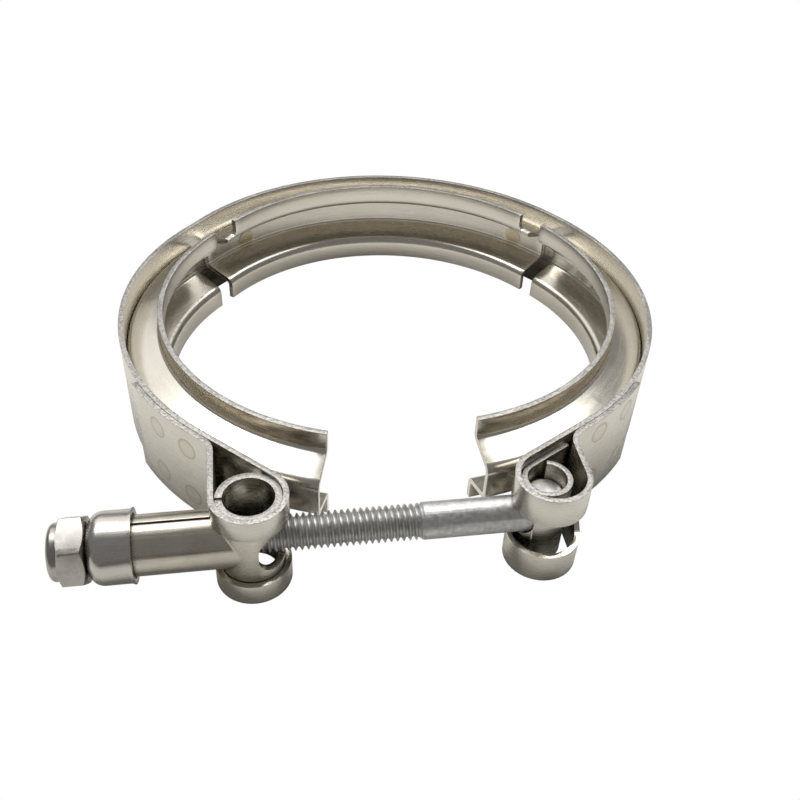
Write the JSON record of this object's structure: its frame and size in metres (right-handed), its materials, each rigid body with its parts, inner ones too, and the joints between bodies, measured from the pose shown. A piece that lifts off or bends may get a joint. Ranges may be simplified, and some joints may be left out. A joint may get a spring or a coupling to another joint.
{
  "type": "v band clamp",
  "caption": "Stainless V band clamp: band with pressed V retainers, slotted trunnion loops, T-bolt, sleeve, end cup and lock nut.",
  "frame": {"origin": "on the axis of the clamped pipe joint, at mid-height of the V groove", "axes": "+Z along the joint's axis, +Y to the middle of the band's back, the closing bolt runs along X at the front (-Y) with its nut at -X"},
  "size_m": [0.1089, 0.1073, 0.0194],
  "materials": {
    "stainless_strip": "rolled satin stainless strip",
    "stainless_pressing": "pressed satin stainless sheet",
    "stainless_rolled": "rolled satin stainless sheet",
    "stainless_drawn": "drawn stainless sheet",
    "zinc_plated_steel": "bright zinc plating, finely mottled",
    "stainless_turned": "machined and tumbled stainless",
    "nylon": "natural nylon"
  },
  "bodies": {
    "band": {"outer_band": "stainless_strip", "retainer_back": "stainless_pressing", "retainer_left": "stainless_pressing", "retainer_right": "stainless_pressing", "head_liner": "stainless_strip"},
    "trunnion": {"trunnion_sleeve": "stainless_rolled"},
    "bolt": {"t_bolt": "zinc_plated_steel"},
    "cup": {"end_cup": "stainless_drawn"},
    "nut": {"lock_nut": "stainless_turned", "nylon_insert": "nylon"}
  },
  "joints": [
    {"name": "trunnion_pivot", "type": "hinge", "parent": "band", "child": "trunnion", "pos_m": [-0.0297, -0.05186, -0.0014], "axis": [0, 0, 1], "range_deg": [-0.25, 0.25]},
    {"name": "bolt_pivot", "type": "hinge", "parent": "band", "child": "bolt", "pos_m": [0.0166, -0.05186, -0.0014], "axis": [0, 0, 1], "range_deg": [-0.1, 0.1]},
    {"name": "cup_slide", "type": "slide", "parent": "bolt", "child": "cup", "axis": [-1, 0, 0], "range_m": [0, 0.003]},
    {"name": "nut_spin", "type": "hinge", "parent": "cup", "child": "nut", "pos_m": [-0.056, -0.05186, -0.0014], "axis": [-1, 0, 0], "range_deg": [0, 1080]}
  ],
  "couplings": [
    {"joint": "nut_spin", "follows": "cup_slide", "rad_per_m": 6283.2}
  ]
}
